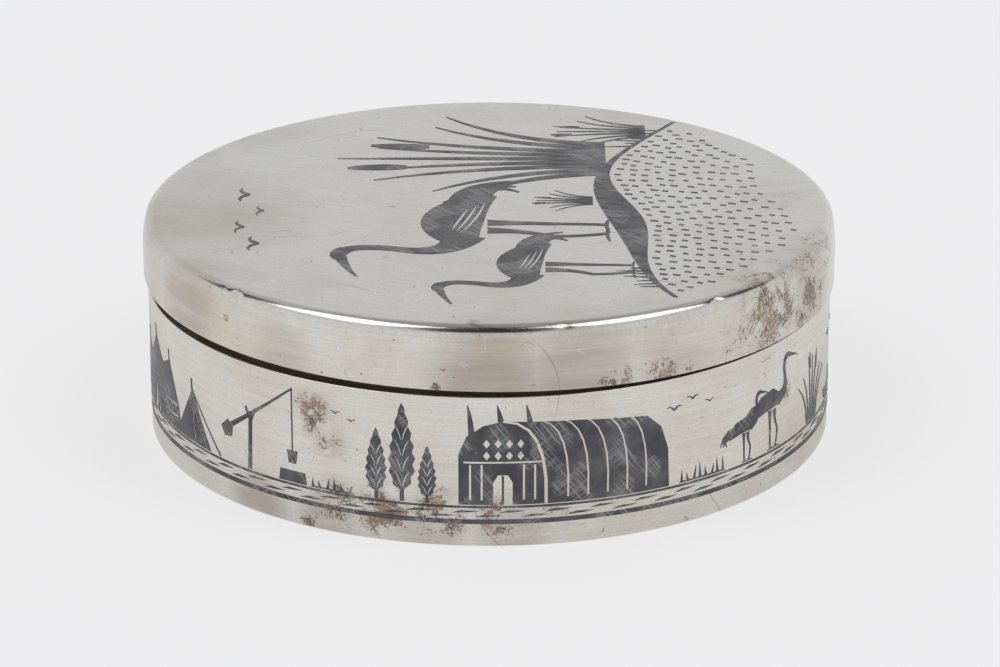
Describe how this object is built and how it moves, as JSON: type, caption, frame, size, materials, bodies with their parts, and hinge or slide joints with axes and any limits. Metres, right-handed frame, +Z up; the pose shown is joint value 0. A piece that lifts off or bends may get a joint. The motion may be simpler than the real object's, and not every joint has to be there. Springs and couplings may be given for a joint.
{
  "type": "pill box",
  "caption": "Round silver box with a pull-off lid on a collar, and a frieze of niello pictures round its wall.",
  "frame": {"origin": "centre of the underside, on the surface that the box stands on", "axes": "+Z up along the box's own axis, -Y the front in the picture, +X the picture's right"},
  "size_m": [0.06, 0.06, 0.0192],
  "materials": {
    "silver": "satin, worn",
    "tarnished_silver": "satin, tarnished",
    "silver_solder": "rough",
    "niello": "satin"
  },
  "bodies": {
    "base": {"base_plate": "silver", "base_solder": "silver_solder", "base_wall": "silver", "collar": "tarnished_silver", "niello_cranes": "niello", "niello_cypresses": "niello", "niello_ducks": "niello", "niello_grass": "niello", "niello_reed_halls": "niello", "niello_reeds": "niello", "niello_ripples": "niello", "niello_shore_line": "niello", "niello_sky_birds": "niello", "niello_tents": "niello", "niello_water_line": "niello", "niello_well_sweeps": "niello"},
    "lid": {"lid_band": "silver", "lid_plate": "silver", "niello_lid_bank": "niello", "niello_lid_birds": "niello", "niello_lid_cranes": "niello", "niello_lid_reeds": "niello", "niello_lid_stipple": "niello"}
  },
  "joints": [
    {"name": "lid_lift", "type": "slide", "parent": "base", "child": "lid", "axis": [0, 0, 1], "range_m": [0, 0.025]}
  ]
}
